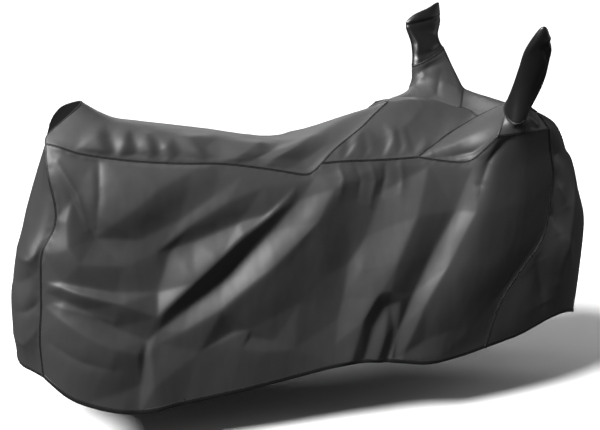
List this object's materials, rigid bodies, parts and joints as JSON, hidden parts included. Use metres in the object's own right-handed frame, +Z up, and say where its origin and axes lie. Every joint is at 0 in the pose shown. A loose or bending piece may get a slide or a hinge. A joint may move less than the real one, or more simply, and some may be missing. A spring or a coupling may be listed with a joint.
{
  "type": "motorcycle cover",
  "caption": "Fitted cover of dark coated cloth, hollow and open below, with a long sewn skirt, a top that dips over the seat, and two ear-shaped pockets that stand up at the front.",
  "frame": {"origin": "underside of the seat panel in the middle of its low crown, where the cover is held up from below", "axes": "+X towards the nose, +Y towards the left side, +Z up"},
  "size_m": [2.0941, 0.7664, 1.2965],
  "materials": {
    "coated_cloth": "satin waterproof coating on plain weave",
    "coated_cloth_top": "satin waterproof coating on plain weave",
    "coated_cloth_dark": "satin waterproof coating on plain weave"
  },
  "bodies": {
    "root": {"side_panel_right": "coated_cloth", "side_panel_left": "coated_cloth", "rear_panel": "coated_cloth", "front_panel": "coated_cloth", "seat_panel": "coated_cloth_top", "tank_panel": "coated_cloth_top", "shoulder_panel_right": "coated_cloth_top", "gusset_right": "coated_cloth", "ear_pocket_right": "coated_cloth_dark", "shoulder_panel_left": "coated_cloth_top", "gusset_left": "coated_cloth", "ear_pocket_left": "coated_cloth_dark"}
  },
  "joints": []
}
